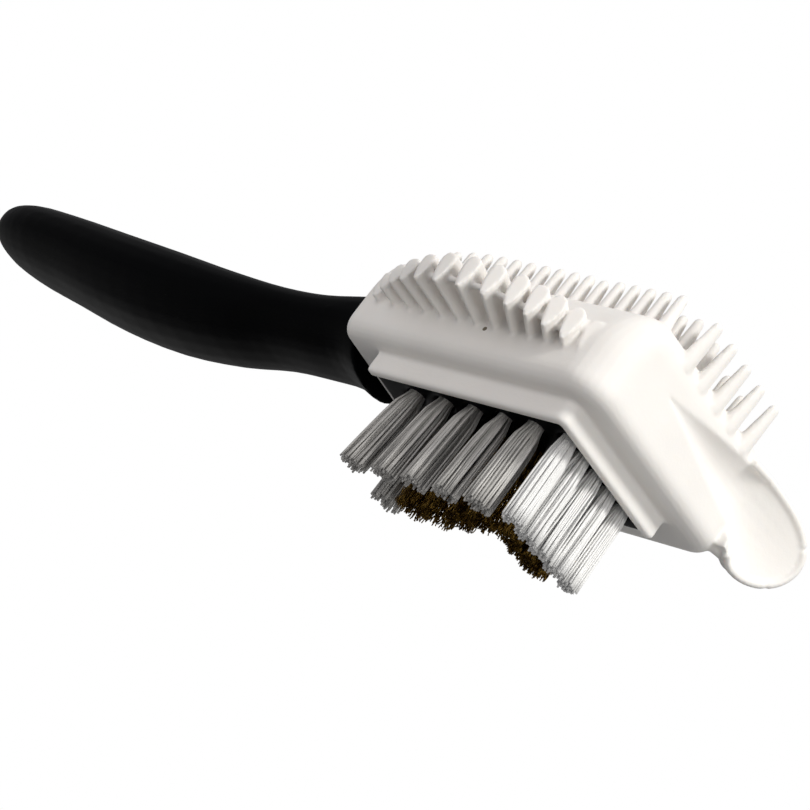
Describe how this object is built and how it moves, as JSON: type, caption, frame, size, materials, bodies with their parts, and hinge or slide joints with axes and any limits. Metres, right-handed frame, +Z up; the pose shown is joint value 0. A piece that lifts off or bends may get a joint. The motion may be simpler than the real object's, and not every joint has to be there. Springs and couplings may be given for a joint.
{
  "type": "hand brush",
  "caption": "Four-way hand brush: L-shaped head with nylon and brass bristles below, rubber pins on top, rubber fins on one side, a scraper lip in front and a rounded handle.",
  "frame": {"origin": "middle of the tip of the tuft at the head's near front corner, on the plane of the bristle tips", "axes": "+X from the handle's end towards the head's front, +Z up from the bristle tips to the rubber pins, -Y towards the side with the rubber fins"},
  "size_m": [0.1728, 0.0674, 0.0457],
  "materials": {
    "handle_plastic": "semi-gloss moulded",
    "head_rubber": "satin moulded rubber",
    "nylon_bristle": "translucent monofilament",
    "brass_wire": "crimped wire",
    "anchor_wire": "flat wire"
  },
  "bodies": {
    "root": {"handle_core": "handle_plastic", "rubber_head_cover": "head_rubber", "nylon_tuft_01": "nylon_bristle", "nylon_tuft_02": "nylon_bristle", "nylon_tuft_03": "nylon_bristle", "nylon_tuft_04": "nylon_bristle", "nylon_tuft_05": "nylon_bristle", "nylon_tuft_06": "nylon_bristle", "nylon_tuft_07": "nylon_bristle", "nylon_tuft_08": "nylon_bristle", "nylon_tuft_09": "nylon_bristle", "nylon_tuft_10": "nylon_bristle", "nylon_tuft_11": "nylon_bristle", "brass_tuft_01": "brass_wire", "brass_tuft_02": "brass_wire", "brass_tuft_03": "brass_wire", "brass_tuft_04": "brass_wire", "brass_tuft_05": "brass_wire", "brass_tuft_06": "brass_wire", "brass_tuft_07": "brass_wire", "tuft_anchor_01": "anchor_wire", "tuft_anchor_02": "anchor_wire", "tuft_anchor_03": "anchor_wire", "tuft_anchor_04": "anchor_wire", "tuft_anchor_05": "anchor_wire", "tuft_anchor_06": "anchor_wire", "tuft_anchor_07": "anchor_wire", "tuft_anchor_08": "anchor_wire", "tuft_anchor_09": "anchor_wire", "tuft_anchor_10": "anchor_wire", "tuft_anchor_11": "anchor_wire", "tuft_anchor_12": "anchor_wire", "tuft_anchor_13": "anchor_wire", "tuft_anchor_14": "anchor_wire", "tuft_anchor_15": "anchor_wire", "tuft_anchor_16": "anchor_wire", "tuft_anchor_17": "anchor_wire", "tuft_anchor_18": "anchor_wire"}
  },
  "joints": []
}
